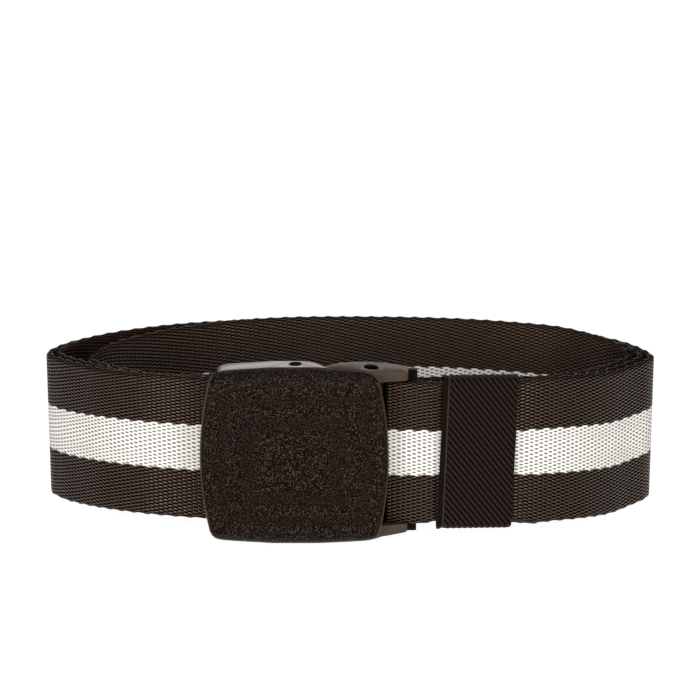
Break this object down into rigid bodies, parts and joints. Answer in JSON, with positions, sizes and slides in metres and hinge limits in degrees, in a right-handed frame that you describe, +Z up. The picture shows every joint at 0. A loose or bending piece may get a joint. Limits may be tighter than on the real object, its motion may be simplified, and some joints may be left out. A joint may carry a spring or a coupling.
{
  "type": "fabric belt",
  "caption": "Woven webbing belt with a pale centre stripe, coiled and standing on its edge, with a flip-cover plastic buckle and an elastic keeper.",
  "frame": {"origin": "middle of the belt's footprint, on the floor it stands on", "axes": "+X to the right of the buckle as its cover is seen, +Y from the buckle to the back of the coil, +Z up across the strap's width"},
  "size_m": [0.154, 0.0654, 0.0458],
  "materials": {
    "webbing": "woven nylon, near-black brown with a white centre stripe",
    "buckle": "smooth satin black",
    "cover": "fine-grained matt black",
    "bars": "smooth black",
    "elastic": "diagonal ribbed black elastic"
  },
  "bodies": {
    "belt": {"webbing": "webbing", "buckle_frame": "buckle", "hinge_pin": "bars", "end_clamp": "buckle", "keeper": "elastic"},
    "cover": {"buckle_cover": "cover", "press_bar": "bars"}
  },
  "joints": [
    {"name": "cover_hinge", "type": "hinge", "parent": "belt", "child": "cover", "pos_m": [0.0052, -0.02549, 0.0229], "axis": [0, 0, 1], "range_deg": [0, 45]}
  ]
}
